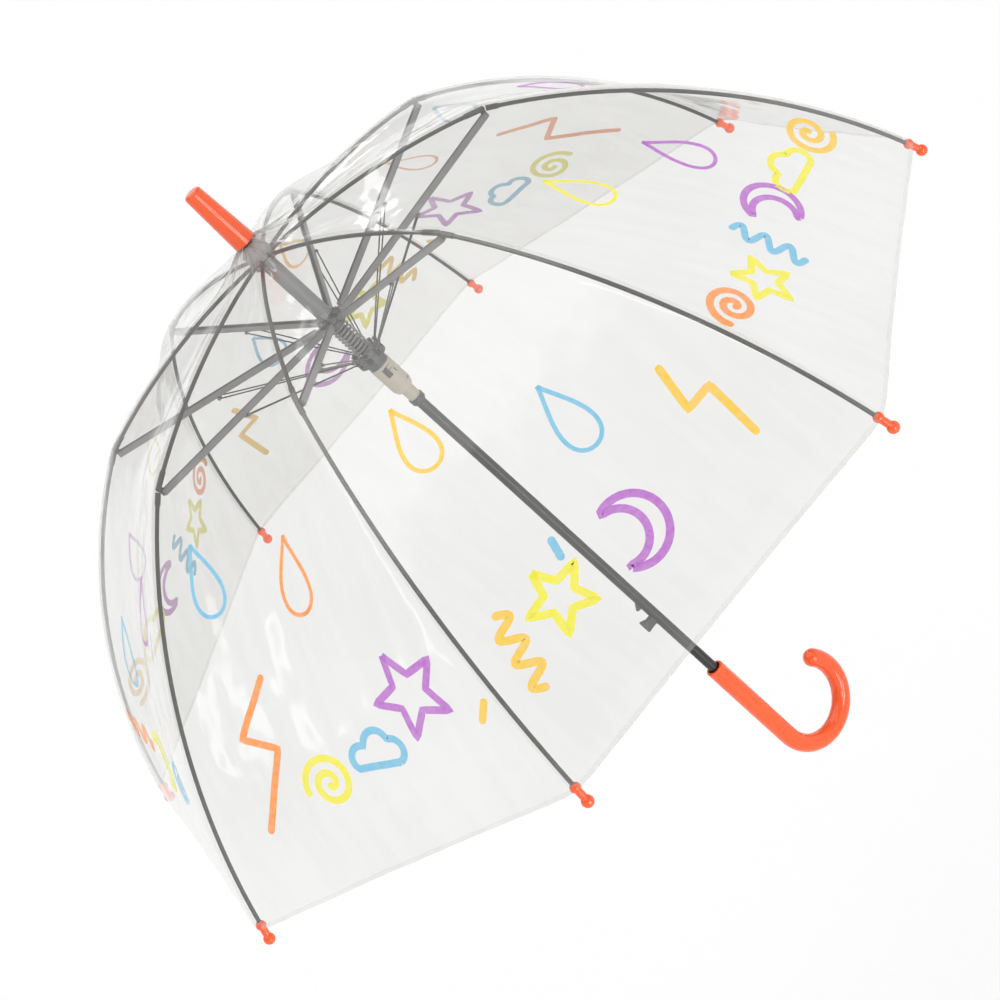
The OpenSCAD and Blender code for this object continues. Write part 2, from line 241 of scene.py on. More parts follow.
class Profile:
    """The film's line over a rib, from the ferrule to the rim, by its length."""

    def __init__(self):
        sizes = canopy()
        rib_root, rim_gap = 3.5 * MM, 9 * MM  # from a rib's pivot to its start, and from rim to tip
        bare_share = 0.27  # of the inner rib, which the film stands off
        cone_lean, cone_reach = math.radians(5), 24 * MM
        neck_radius, cone_radius = 4.9 * MM, 8.8 * MM  # the film's, under the ferrule and where it spreads
        neck_drop, cone_drop = 1.2 * MM, 1.6 * MM
        ball_reach = 4 * MM
        inner_steps, outer_steps = 400, 700
        crown, clip = rib_plane("rib_fold_1"), rib_plane("rib_bend_1")
        low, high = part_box("rib_tip_1")
        tip = np.array([high.x - ball_reach, low.z + ball_reach])
        self.clip, self.tip = clip, tip
        rib_start = crown + np.array([rib_root, 0])
        inner, inner_normals = arc(rib_start, clip, sizes.inner_bow, inner_steps)
        outer, outer_normals = arc(clip, tip, sizes.outer_bow, outer_steps)
        rim = round(outer_steps * (1 - rim_gap / np.linalg.norm(tip - clip)))
        covered = round(inner_steps * bare_share)
        over_inner = (inner + sizes.lift * inner_normals)[covered:]
        over_outer = (outer + sizes.lift * outer_normals)[:rim]
        foot = over_inner[0]
        ferrule_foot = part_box("ferrule")[0].z
        top = np.array([cone_radius, ferrule_foot - cone_drop])
        bend = foot - cone_reach * np.array([math.cos(cone_lean), -math.sin(cone_lean)])
        t = np.linspace(0, 1, 120)[:-1, None]
        cone = (1 - t) ** 2 * top + 2 * t * (1 - t) * bend + t ** 2 * foot
        neck = np.linspace(np.array([neck_radius, ferrule_foot - neck_drop]), top, 12)[:-1]
        line = np.concatenate([neck, cone, over_inner, over_outer])
        along = self.lengths(line)
        even = np.linspace(0, along[-1], 1200)
        line = np.stack([np.interp(even, along, line[:, k]) for k in range(2)], axis=1)
        self.line = self.softened(line)
        self.along = self.lengths(self.line)
        self.length = self.along[-1]
        self.clip_at = self.along[np.linalg.norm(self.line - clip, axis=1).argmin()]
        slope = np.gradient(self.line, self.along, axis=0)
        self.slope = slope / np.linalg.norm(slope, axis=1)[:, None]

    @staticmethod
    def lengths(line):
        return np.concatenate([[0], np.cumsum(np.linalg.norm(np.diff(line, axis=0), axis=1))])

    @staticmethod
    def softened(line):
        """The line with its corners eased, and its ends where they were."""
        reach = 24
        weights = np.hanning(2 * reach + 1)
        weights /= weights.sum()
        padded = np.concatenate([2 * line[0] - line[reach:0:-1], line, 2 * line[-1] - line[-2:-reach - 2:-1]])
        return np.stack([np.convolve(padded[:, k], weights, mode="valid") for k in range(2)], axis=1)

    def at(self, length):
        return np.array([np.interp(length, self.along, self.line[:, k]) for k in range(2)])

    def normal(self, length):
        along = [np.interp(length, self.along, self.slope[:, k]) for k in range(2)]
        return np.array([-along[1], along[0]])


def panel_of(rib, side):
    """Panel i lies between ribs i and i + 1. Side -1 of a rib is its own panel, and side 1 the one before."""
    return rib if side < 0 else (rib - 2) % RIBS + 1


def halves():
    """Each rib with each of its sides, and the side's name."""
    return [(rib, side, name) for rib in range(1, RIBS + 1) for side, name in ((-1, "left"), (1, "right"))]


class Film:
    """The canopy's surface. A place on it is a panel, a share across between its ribs, and a length down."""

    def __init__(self):
        self.sizes = canopy()
        self.profile = Profile()
        draw = random.Random(11)
        self.folds = {p: [(draw.uniform(-0.6, 0.6), draw.uniform(0.10, 0.28), draw.uniform(-1, 1))
                          for _ in range(4)] for p in range(1, RIBS + 1)}

    def point(self, panel, across, length, lift=0.0):
        """across runs from -1 at rib panel to 1 at the next rib."""
        near = 1 if across > 0 else 0
        share = 1 - abs(across)  # 0 at the rib, 1 in the middle of the panel
        radius, height = self.profile.at(length)
        swing = HALF - math.atan((1 - share) * math.tan(HALF))
        soft = min(self.sizes.fold / max(radius, 1 * MM), 0.12)
        eased = (math.hypot(swing, soft) - soft) * HALF / (math.hypot(HALF, soft) - soft)
        reach = radius * math.cos(HALF) / math.cos(HALF - eased)
        rib_turn = -STEP * (panel - 1 + near)
        side = 1 if near else -1
        turn = rib_turn + side * swing
        out_r, out_z = self.profile.normal(length)
        facing = rib_turn + side * HALF * (1 - math.exp(-share * radius * 0.38 / self.sizes.fold))
        normal = Vector((out_r * math.cos(facing), out_r * math.sin(facing), out_z))
        flat = Vector((reach * math.cos(turn), reach * math.sin(turn), height))
        return flat + normal * (self.relief(panel, across, length, flat, turn, radius) + lift)

    def relief(self, panel, across, length, flat, turn, radius):
        """How far the film stands out from the straight run between its ribs."""
        sizes = self.sizes
        share = 1 - abs(across)
        down = length / self.profile.length
        belly = math.sin(math.pi * share / 2) ** 2
        pull = -sizes.sag * belly * math.sin(math.pi * min(1, down * 1.04)) ** 0.8
        ripple = 0
        for place, width, height in self.folds[panel]:
            bend = place + 0.25 * math.sin(2.2 * down + 5 * place)
            ripple += height * math.exp(-((across - bend) / width) ** 2)
        ripple *= belly * sizes.ripple * 1.4 * math.sin(math.pi * down) ** 2
        crumple = noise.fractal(Vector((flat.x * 26, flat.y * 26, flat.z * 13)), 1.0, 2.1, 4)
        ripple += sizes.ripple * crumple * min(1, share * 6) * min(1, down * 8)
        gather = math.exp(-max(0, radius - 10 * MM) / (30 * MM)) * min(1, radius / (9 * MM)) ** 3
        wave = math.sin(23 * turn + 1.3) + 0.7 * math.sin(37 * turn - 40 * length) + 0.5 * math.sin(61 * turn)
        pleat = sizes.pleat * gather * (0.55 + 0.35 * wave)
        return pull + ripple + pleat


@functools.cache
def film():
    """The film's surface, worked out once."""
    return Film()


def spans():
    """Where each part of the film starts and ends, by length."""
    profile, collar = film().profile, canopy().collar
    return {"crown": (0.0, collar), "inner": (collar, profile.clip_at),
            "outer": (profile.clip_at, profile.length)}


def fold_axis(rib, side, part):
    """The direction in which half a panel is gathered to its rib, and a point that it is gathered to."""
    profile = film().profile
    ends = {"inner": (rib_plane("rib_fold_1"), profile.clip), "outer": (profile.clip, profile.tip)}[part]
    along = unit(ends[1] - ends[0])
    rib_line = Vector((along[0], 0, along[1]))
    out = Vector((-along[1], 0, along[0]))
    across = Vector((-math.sin(HALF), side * math.cos(HALF), 0))
    lean_out = 0.08  # how far that direction leans outwards
    axis = (across - across.dot(rib_line) * rib_line).normalized() - lean_out * out
    anchor = Vector((ends[0][0], 0, ends[0][1])) + out * (6 * MM if part == "outer" else 4 * MM)
    turn = Matrix.Rotation(-STEP * (rib - 1), 3, "Z")
    return turn @ axis.normalized(), turn @ anchor


def ride_and_gather(piece, rib, side, part):
    """The piece rides on its part of the rib. Round the crown it stays where it was made.
    """
    if part == "crown":
        top, foot = (film().profile.at(length) for length in spans()["crown"])
        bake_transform(piece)
        return
    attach(piece, f"rib_{part}_{rib}")
    axis, anchor = fold_axis(rib, side, part)
    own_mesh(piece)


# ---- small helpers

def mesh_piece(name, points, faces, material, uvs=None):
    """A piece at the origin from its points and faces; uvs has one pair for each point."""
    mesh = bpy.data.meshes.new(name)
    mesh.from_pydata([tuple(p) for p in points], [], faces)
    if uvs is not None:
        layer = mesh.uv_layers.new(name="film")
        for loop in mesh.loops:
            layer.data[loop.index].uv = uvs[loop.vertex_index]
    mesh.materials.append(material)
    mesh.polygons.foreach_set("use_smooth", [True] * len(mesh.polygons))
    mesh.update()
    piece = bpy.data.objects.new(name, mesh)
    bpy.context.scene.collection.objects.link(piece)
    return piece


def deselect():
    if bpy.context.object and bpy.context.object.mode != "OBJECT":
        bpy.ops.object.mode_set(mode="OBJECT")
    bpy.ops.object.select_all(action="DESELECT")


def settle(name, material, body):
    """Names the active piece, puts its place into its mesh, turns its faces outwards and makes it ride."""
    piece = bpy.context.object
    piece.name = piece.data.name = name
    bpy.ops.object.transform_apply(location=True, rotation=True, scale=True)
    bpy.ops.object.mode_set(mode="EDIT")
    bpy.ops.mesh.select_all(action="SELECT")
    bpy.ops.mesh.remove_doubles(threshold=1e-6)
    bpy.ops.mesh.normals_make_consistent(inside=False)
    bpy.ops.object.mode_set(mode="OBJECT")
    bpy.ops.object.shade_smooth_by_angle(angle=math.radians(35))
    piece.data.materials.clear()
    piece.data.materials.append(material)
    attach(piece, body)
    return piece


def apply_all(piece):
    for modifier in list(piece.modifiers):
        bpy.ops.object.modifier_apply(modifier=modifier.name)


# ---- materials

class Shader:
    """Builds one material's nodes."""

    def __init__(self, name):
        self.material = bpy.data.materials.new(name)
        self.material.use_nodes = True
        self.tree = self.material.node_tree
        self.tree.nodes.clear()
        self.output = self.node("ShaderNodeOutputMaterial")
        self.place = self.node("ShaderNodeTexCoord").outputs["Object"]

    def node(self, kind, inputs=None, **settings):
        made = self.tree.nodes.new(kind)
        for key, value in settings.items():
            setattr(made, key, value)
        for socket, value in (inputs or {}).items():
            if isinstance(value, bpy.types.NodeSocket):
                self.tree.links.new(value, made.inputs[socket])
            else:
                made.inputs[socket].default_value = value
        return made

    def noise(self, scale, detail=3.0, roughness=0.5, stretch=None, vector=None):
        vector = vector or self.place
        if stretch:
            vector = self.node("ShaderNodeMapping", {"Vector": vector, "Scale": stretch}).outputs["Vector"]
        made = self.node("ShaderNodeTexNoise", {
            "Vector": vector, "Scale": scale, "Detail": detail, "Roughness": roughness})
        return made.outputs["Fac"]

    def band(self, value, low, high, to_low, to_high):
        made = self.node("ShaderNodeMapRange", {
            "Value": value, "From Min": low, "From Max": high, "To Min": to_low, "To Max": to_high})
        return made.outputs["Result"]

    def sum(self, a, b, operation="ADD"):
        return self.node("ShaderNodeMath", {0: a, 1: b}, operation=operation).outputs[0]

    def blend(self, share, a, b, blend_type="MIX"):
        made = self.node("ShaderNodeMix", data_type="RGBA", blend_type=blend_type)
        for socket, value in ((made.inputs[0], share), (made.inputs[6], a), (made.inputs[7], b)):
            if isinstance(value, bpy.types.NodeSocket):
                self.tree.links.new(value, socket)
            else:
                socket.default_value = value
        return made.outputs[2]

    def bump(self, height, distance, strength=1.0, under=None):
        inputs = {"Height": height, "Distance": distance, "Strength": strength}
        if under:
            inputs["Normal"] = under
        return self.node("ShaderNodeBump", inputs).outputs["Normal"]

    def finish(self, surface):
        self.tree.links.new(surface, self.output.inputs["Surface"])
        return self.material


def rgba(colour, gain=1.0):
    return (colour[0] * gain, colour[1] * gain, colour[2] * gain, 1.0)


def moulded_plastic(name, colour, roughness, peel, coat=0.0):
    """Moulded plastic: flow marks in the colour, a fine peel in the surface, and rubbed, duller patches."""
    s = Shader(name)
    flow = s.noise(14, 4, 0.6, stretch=(1, 1, 0.35))
    tint = s.blend(s.band(flow, 0.35, 0.7, 0, 1), rgba(colour, 0.9), rgba(colour, 1.04))
    scuffs = s.noise(420, 2, 0.5, stretch=(1, 1, 0.08))
    rubbed = s.band(s.noise(34, 5, 0.62), 0.5, 0.72, 0, 1)
    rough = s.sum(s.band(rubbed, 0, 1, roughness, roughness + 0.10), s.band(scuffs, 0.62, 0.75, 0, 0.12))
    fine = s.bump(s.noise(900, 2, 0.5), peel, 0.25)
    normal = s.bump(s.noise(120, 2, 0.4), peel * 4, 0.5, under=fine)
    shader = s.node("ShaderNodeBsdfPrincipled", {
        "Base Color": tint, "Roughness": rough, "Normal": normal, "IOR": 1.5, "Coat Weight": coat,
        "Coat Roughness": 0.08, "Subsurface Weight": 0.06, "Subsurface Radius": (0.004, 0.0015, 0.001)})
    return s.finish(shader.outputs["BSDF"])


def painted_steel(name, colour, roughness):
    """Satin paint on steel, with a fine peel and a few bright rubs along the length."""
    s = Shader(name)
    tint = s.blend(s.noise(60, 4, 0.6), rgba(colour, 0.75), rgba(colour, 1.5))
    rub = s.band(s.noise(105, 5, 0.7), 0.72, 0.78, 0, 1)
    tint = s.blend(rub, tint, (0.16, 0.16, 0.165, 1))
    rough = s.band(s.noise(90, 3, 0.6), 0.3, 0.7, roughness - 0.05, roughness + 0.10)
    normal = s.bump(s.noise(800, 2, 0.5), 0.01 * MM, 0.3)
    shader = s.node("ShaderNodeBsdfPrincipled", {
        "Base Color": tint, "Roughness": rough, "Normal": normal, "IOR": 1.52,
        "Metallic": s.band(rub, 0, 1, 0, 0.9)})
    return s.finish(shader.outputs["BSDF"])


def drawn_wire(name):
    """Dull drawn steel wire with faint heat colour and draw marks."""
    s = Shader(name)
    tint = s.blend(s.noise(150, 4, 0.6), (0.14, 0.14, 0.15, 1), (0.34, 0.33, 0.33, 1))
    marks = s.noise(2600, 2, 0.5, stretch=(1, 1, 0.15))
    shader = s.node("ShaderNodeBsdfPrincipled", {
        "Base Color": tint, "Metallic": 1.0, "Roughness": s.band(marks, 0.3, 0.7, 0.26, 0.44),
        "Normal": s.bump(marks, 0.01 * MM)})
    return s.finish(shader.outputs["BSDF"])


def clear_film(name, colour, least, gloss):
    """Soft clear film: clear face on, milky at a glance, with a wet gloss, soft ripples and fine creases.

    gloss is the share of light that it reflects face on.
    """
    s = Shader(name)
    on_film = s.node("ShaderNodeUVMap", uv_map="film").outputs["UV"]
    down = s.node("ShaderNodeSeparateXYZ", {"Vector": on_film}).outputs["Y"]
    crown = s.band(down, 0.03, 0.20, 1, 0)
    cloud = s.noise(9, 3, 0.5)
    creases = s.noise(90, 4, 0.6, stretch=(1, 0.14, 1), vector=on_film)
    ripples = s.noise(34, 2, 0.5)
    soft = s.bump(ripples, 0.9 * MM, 0.35)
    fine = s.node("ShaderNodeBump", {
        "Height": creases, "Distance": 0.7 * MM, "Strength": s.band(crown, 0, 1, 0.04, 0.75), "Normal": soft})
    normal = fine.outputs["Normal"]
    glance = s.node("ShaderNodeLayerWeight", {"Blend": 0.5}).outputs["Facing"]
    wet = s.node("ShaderNodeLayerWeight", {"Blend": 0.5, "Normal": normal}).outputs["Facing"]
    milk = s.sum(s.band(cloud, 0.3, 0.7, 0.85, 1.15), s.band(creases, 0.35, 0.65, 0.92, 1.08), "MULTIPLY")
    edge = s.band(s.sum(glance, 5.0, "POWER"), 0, 1, least, 0.55)
    gathered = s.band(down, 0.008, 0.034, 0.42, 0)
    share = s.sum(s.sum(edge, milk, "MULTIPLY"), gathered)
    body = s.node("ShaderNodeBsdfPrincipled", {
        "Base Color": s.blend(gathered, rgba(colour), (0.62, 0.60, 0.61, 1)),
        "Roughness": 0.32, "IOR": 1.45, "Normal": normal})
    clear = s.node("ShaderNodeBsdfTransparent", {"Color": (0.992, 0.992, 0.985, 1)})
    milky = s.node("ShaderNodeMixShader", {0: share, 1: clear.outputs[0], 2: body.outputs[0]})
    shine = s.node("ShaderNodeBsdfGlossy", {"Color": (1, 1, 1, 1), "Roughness": 0.09, "Normal": normal})
    reflected = s.band(s.sum(wet, 5.0, "POWER"), 0, 1, gloss, 0.85)
    mixed = s.node("ShaderNodeMixShader", {0: reflected, 1: milky.outputs[0], 2: shine.outputs[0]})
    return s.finish(mixed.outputs[0])


def printed_ink(name):
    """Screen-printed ink, a little uneven and see-through, in the colour that each mark carries."""
    s = Shader(name)
    colour = s.node("ShaderNodeVertexColor", layer_name="ink").outputs["Color"]
    mottle = s.noise(260, 4, 0.7)
    tint = s.blend(s.band(mottle, 0.35, 0.65, 0.0, 0.12), colour, (1, 1, 1, 1))
    shader = s.node("ShaderNodeBsdfPrincipled", {
        "Base Color": tint, "Roughness": s.band(mottle, 0.3, 0.7, 0.3, 0.45), "IOR": 1.45,
        "Normal": s.bump(mottle, 0.04 * MM)})
    clear = s.node("ShaderNodeBsdfTransparent", {"Color": (1, 1, 1, 1)})
    cover = s.band(s.noise(40, 3, 0.6), 0.3, 0.7, 0.86, 0.96)
    mixed = s.node("ShaderNodeMixShader", {0: cover, 1: clear.outputs[0], 2: shader.outputs[0]})
    return s.finish(mixed.outputs[0])


def material(name):
    """Each material is made once, on first use."""
    made = bpy.data.materials.get(name)
    if made:
        return made
    colours = bpy.context.scene.umbrella_finishes
    makers = {
        "orange_gloss": (moulded_plastic, colours.orange_plastic, 0.16, 0.012 * MM, 0.4),
        "black_paint": (painted_steel, colours.black_paint, 0.34),
        "grey_paint": (painted_steel, colours.grey_paint, 0.38),
        "dark_moulding": (moulded_plastic, colours.dark_plastic, 0.42, 0.02 * MM),
        "pale_moulding": (moulded_plastic, colours.pale_plastic, 0.46, 0.02 * MM),
        "grey_moulding": (moulded_plastic, colours.grey_plastic, 0.38, 0.02 * MM),
        "spring_wire": (drawn_wire,),
        "film": (clear_film, colours.film, 0.20, 0.035),
        "film_weld": (clear_film, colours.film, 0.09, 0.04),
        "ink": (printed_ink,),
    }
    maker, *settings = makers[name]
    return maker(name, *settings)


# ---- canopy

def grid_faces(rows, columns, flip):
    """Quads between the points of a grid, stored row by row."""
    faces = []
    for row in range(rows - 1):
        for column in range(columns - 1):
            a = row * columns + column
            quad = (a, a + 1, a + columns + 1, a + columns)
            faces.append(quad[::-1] if flip else quad)
    return faces


def film_patch(name, rib, side, lengths, shares, lift, stuff):
    """A patch of film on one side of a rib. shares run from 0 at the rib to 1 in the middle of the panel."""
    surface = film()
    panel = panel_of(rib, side)
    points, uvs = [], []
    for length in lengths:
        half_width = surface.profile.at(length)[0] * math.sin(HALF)
        for share in (shares(length) if callable(shares) else shares):
            across = (share - 1) if side < 0 else (1 - share)
            if side > 0 and across <= 0:
                across = 1e-9
            points.append(surface.point(panel, across, length, lift))
            uvs.append((across * half_width, length))
    columns = len(points) // len(lengths)
    return mesh_piece(name, points, grid_faces(len(lengths), columns, side > 0), stuff, uvs)


class UMBRELLA_OT_film(bpy.types.Operator):
    """Makes the film canopy, half a panel at a time, so that each half can follow its own rib"""
    bl_idname = "umbrella.film"
    bl_label = "Film canopy"

    def execute(self, context):
        counts = {"crown": (12, 20), "inner": (42, 20), "outer": (84, 36)}
        for part, (start, end) in spans().items():
            rows, columns = counts[part]
            lengths = np.linspace(start, end, rows)
            shares = np.linspace(0, 1, columns)
            for rib, side, side_name in halves():
                piece = film_patch(f"film_{part}_{rib}_{side_name}", rib, side, lengths, shares, 0,
                                   material("film"))
                ride_and_gather(piece, rib, side, part)
                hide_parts(f"canopy_panel_{panel_of(rib, side)}")
        return {"FINISHED"}


def declare_film():
    """Works out the half width of each part of the film along its length, and keeps nothing."""
    surface = film()
    for part, (start, end) in spans().items():
        lengths = np.linspace(start, end, 60)
        widths = np.array([surface.profile.at(x)[0] for x in lengths]) * math.sin(HALF)


class UMBRELLA_OT_seams(bpy.types.Operator):
    """Makes the welded seams along the ribs and the welded hem along the rim"""
    bl_idname = "umbrella.seams"
    bl_label = "Seams and hem"

    def execute(self, context):
        sizes = canopy()
        profile = film().profile
        lift = 0.3 * MM

        def seam_shares(length):
            half_width = max(profile.at(length)[0] * math.sin(HALF), sizes.seam_width)
            edge = sizes.seam_width / 2 / half_width
            return [0, edge * 0.35, edge * 0.7, edge * 0.85, edge]

        for part, rows in (("inner", 42), ("outer", 84)):
            lengths = np.linspace(*spans()[part], rows)
            for rib, side, side_name in halves():
                where = f"{part}_{rib}_{side_name}"
                weld = material("film_weld")
                made = [film_patch(f"seam_{where}", rib, side, lengths, seam_shares, lift, weld)]
                if part == "outer":
                    rim = np.linspace(profile.length - sizes.hem_width, profile.length, 5)
                    shares = np.linspace(0, 1, 36)
                    made.append(film_patch(f"hem_{where}", rib, side, rim, shares, -lift, weld))
                for piece in made:
                    ride_and_gather(piece, rib, side, part)
        return {"FINISHED"}


# ---- prints

def turned(points, angle, size, place):
    """Points turned by an angle, scaled and moved, in (across, down) on the flattened panel."""
    c, s = math.cos(angle), math.sin(angle)
    return [(place[0] + size * (x * c - y * s), place[1] + size * (x * s + y * c)) for x, y in points]


def drop():
    """A raindrop's outline, one unit long, with its point up."""
    wide, steps = 0.26, 40
    line = [(0.0, -0.5)]
    for k in range(1, steps):
        t = 2 * math.pi * k / steps
        line.append((-wide * math.sin(t) * math.sin(t / 2) ** 1.6 * 1.25, -0.5 * math.cos(t)))
    return [line + [(0.0, -0.5)]]


def cloud():
    """A cloud's outline: bumps over a flat foot."""
    bumps = [(-0.30, 0.02, 0.17, 100, 265), (-0.10, -0.14, 0.20, 185, 330), (0.20, -0.06, 0.17, 235, 400)]
    line = []
    for x, y, r, start, end in bumps:
        for k in range(13):
            a = math.radians(start + (end - start) * k / 12)
            line.append((x + r * math.cos(a), y + r * math.sin(a)))
    line.append(line[0])
    return [line]


def spiral():
    """A spiral of two turns."""
    steps = 60
    return [[(0.42 * (k / steps) * math.cos(4 * math.pi * k / steps),
              0.42 * (k / steps) * math.sin(4 * math.pi * k / steps)) for k in range(6, steps + 1)]]


def wave():
    """Three soft waves."""
    return [[(-0.5 + k / 48, 0.13 * math.sin(6 * math.pi * k / 48)) for k in range(49)]]


def zigzag():
    """A lightning zigzag."""
    corners = [(-0.16, -0.5), (0.14, -0.14), (-0.12, -0.02), (0.18, 0.5)]
    return [corners]


def star():
    """A five-pointed star's outline."""
    line = [(r * math.sin(math.pi * k / 5), -r * math.cos(math.pi * k / 5))
            for k in range(10) for r in [0.46 if k % 2 == 0 else 0.2]]
    return [line + line[:1]]


def crescent():
    """A crescent moon's outline."""
    outer = [(0.42 * math.cos(math.radians(a)), 0.42 * math.sin(math.radians(a))) for a in range(60, 301, 10)]
    inner = [(0.16 + 0.33 * math.cos(math.radians(a)), 0.33 * math.sin(math.radians(a)))
             for a in range(280, 79, -10)]
    return [outer + inner + outer[:1]]


def dot():
    """A short dab of ink."""
    return [[(-0.3, 0), (0.3, 0)]]


SHAPES = {"drop": drop, "cloud": cloud, "spiral": spiral, "wave": wave, "zigzag": zigzag, "star": star,
          "crescent": crescent, "dot": dot}

# The drawings on four panels, which come twice round the canopy. Each is a shape, an ink, its length in
# millimetres, its middle across from the panel's middle (towards the next rib) and down from the canopy's
# top along the film, and its turn in degrees.
DRAWINGS = {
    1: [("drop", "yellow", 50, 15, 258, -12), ("drop", "purple", 50, -40, 315, -5),
        ("spiral", "orange", 40, 98, 368, 0), ("star", "yellow", 46, 64, 384, 10),
        ("wave", "sky", 50, 26, 384, 80),
        ("crescent", "purple", 46, -12, 382, 20), ("cloud", "yellow", 50, -50, 392, 0),
        ("spiral", "amber", 44, -94, 396, 120)],
    2: [("drop", "amber", 50, 42, 258, -12), ("drop", "sky", 52, -24, 325, -6),
        ("wave", "amber", 50, 98, 394, 75), ("star", "yellow", 48, 60, 392, 0),
        ("dot", "sky", 18, 40, 372, 70),
        ("crescent", "purple", 52, 4, 400, -20), ("zigzag", "amber", 64, -82, 384, 25)],
    3: [("drop", "sky", 52, 46, 250, 5), ("drop", "orange", 52, -24, 277, -8),
        ("zigzag", "orange", 96, 54, 370, -10), ("spiral", "yellow", 46, 18, 404, 0),
        ("cloud", "sky", 48, -24, 402, 0), ("star", "purple", 62, -72, 376, 12),
        ("dot", "amber", 20, -114, 404, 50)],
    4: [("drop", "purple", 50, -30, 270, -6), ("drop", "sky", 52, 40, 320, 8),
        ("wave", "orange", 60, 70, 392, 0),
        ("crescent", "yellow", 50, 10, 398, 15), ("spiral", "sky", 46, -45, 396, 60)],
}


def resampled(line, step):
    """The line with points about step apart, its corners kept."""
    points = [line[0]]
    for a, b in zip(line, line[1:]):
        count = max(1, math.ceil(math.dist(a, b) / step))
        points += [(a[0] + (b[0] - a[0]) * k / count, a[1] + (b[1] - a[1]) * k / count)
                   for k in range(1, count + 1)]
    return points


class Ink:
    """Collects the marks that lie on one half panel's inner or outer part."""

    def __init__(self):
        self.points, self.faces, self.colours = [], [], []

    def add(self, corners, colour):
        start = len(self.points)
        self.points += corners
        self.faces.append(tuple(range(start, start + len(corners))))
        self.colours.append(colour)


def lay_ink(marks, panel, polygon, colour):
    """Puts a small flat polygon, given on the flattened panel, onto the film."""
    surface, profile = film(), film().profile
    lift = bpy.context.scene.umbrella_print.ink_lift
    x = sum(p[0] for p in polygon) / len(polygon)
    y = sum(p[1] for p in polygon) / len(polygon)
    part = "inner" if y < profile.clip_at else "outer"
    rib, side = (panel, "left") if x < 0 else (panel % RIBS + 1, "right")
    corners = []
    for px, py in polygon:
        half_width = profile.at(py)[0] * math.sin(HALF)
        across = max(-0.999, min(0.999, px / half_width))
        corners.append(surface.point(panel, across, py, lift))
    marks.setdefault((part, rib, side), Ink()).add(corners, colour)


def stroke(marks, panel, line, width, colour):
    """A line of ink with round ends and round corners."""
    half = width / 2
    line = resampled(line, 2.5 * MM)
    normals = []
    for k in range(len(line)):
        a, b = line[max(k - 1, 0)], line[min(k + 1, len(line) - 1)]
        length = max(math.dist(a, b), 1e-9)
        normals.append((-(b[1] - a[1]) / length, (b[0] - a[0]) / length))
    closed = math.dist(line[0], line[-1]) < 1e-6
    for k in range(len(line) - 1):
        (ax, ay), (bx, by) = line[k], line[k + 1]
        (nx, ny), (mx, my) = normals[k], normals[k + 1]
        for s, t in ((-1, 0), (0, 1)):
            lay_ink(marks, panel, [(ax + s * half * nx, ay + s * half * ny),
                                   (bx + s * half * mx, by + s * half * my),
                                   (bx + t * half * mx, by + t * half * my),
                                   (ax + t * half * nx, ay + t * half * ny)], colour)
    if not closed:
        for (x, y), (nx, ny), way in ((line[0], normals[0], 1), (line[-1], normals[-1], -1)):
            start = math.atan2(ny, nx)
            fan = [(x + half * math.cos(start + way * math.pi * k / 8),
                    y + half * math.sin(start + way * math.pi * k / 8)) for k in range(9)]
            lay_ink(marks, panel, fan, colour)


class UMBRELLA_OT_prints(bpy.types.Operator):
    """Prints the drawings on the outside of the film"""
    bl_idname = "umbrella.prints"
    bl_label = "Printed drawings"

    def execute(self, context):
        sizes = context.scene.umbrella_print
        marks = {}
        for first in (0, RIBS // 2):
            for panel, drawings in DRAWINGS.items():
                for shape, ink, length, across, down, turn in drawings:
                    width = sizes.drop_stroke if shape == "drop" else sizes.doodle_stroke
                    for line in SHAPES[shape]():
                        line = turned(line, math.radians(turn), length * MM, (across * MM, down * MM))
                        stroke(marks, first + panel, line, width, getattr(sizes, ink))
        for (part, rib, side_name), ink in marks.items():
            piece = mesh_piece(f"print_{part}_{rib}_{side_name}", ink.points, ink.faces, material("ink"))
            layer = piece.data.color_attributes.new("ink", "FLOAT_COLOR", "CORNER")
            for polygon, colour in zip(piece.data.polygons, ink.colours):
                for loop in polygon.loop_indices:
                    layer.data[loop].color = (*colour, 1)
            self.weld(piece)
            ride_and_gather(piece, rib, -1 if side_name == "left" else 1, part)
        return {"FINISHED"}

    @staticmethod
    def weld(piece):
        """Joins neighbouring marks and turns them all to face out of the canopy."""
        edit = bmesh.new()
        edit.from_mesh(piece.data)
        bmesh.ops.remove_doubles(edit, verts=edit.verts, dist=0.02 * MM)
        bmesh.ops.dissolve_degenerate(edit, edges=edit.edges, dist=0.01 * MM)
        for face in edit.faces:
            face.normal_update()
            middle = face.calc_center_median()
            if face.normal.dot(Vector((middle.x, middle.y, 0.05))) < 0:
                face.normal_flip()
        edit.to_mesh(piece.data)
        edit.free()


# ---- fittings

class UMBRELLA_OT_rings(bpy.types.Operator):
    """Makes the three rings of wire that hold the ribs, the stretchers and the links"""
    bl_idname = "umbrella.rings"
    bl_label = "Wire rings"

    def execute(self, context):
        crown, hub = JOINTS["rib_fold_1"]["pos_m"], JOINTS["hub_upright"]["pos_m"]
        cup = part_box("runner_cup")
        runner_z = cup[1].z - 4 * MM
        for name, radius, height, body in (("crown_ring", crown[0], crown[2], "shaft_and_handle"),
                                           ("hub_ring", hub[0], hub[2], "hub"),
                                           ("runner_ring", 10.4 * MM, runner_z, "runner")):
            deselect()
            bpy.ops.mesh.primitive_torus_add(location=(0, 0, height), major_radius=radius,
                                             minor_radius=0.45 * MM, major_segments=96, minor_segments=12)
            settle(name, material("spring_wire"), body)
        return {"FINISHED"}


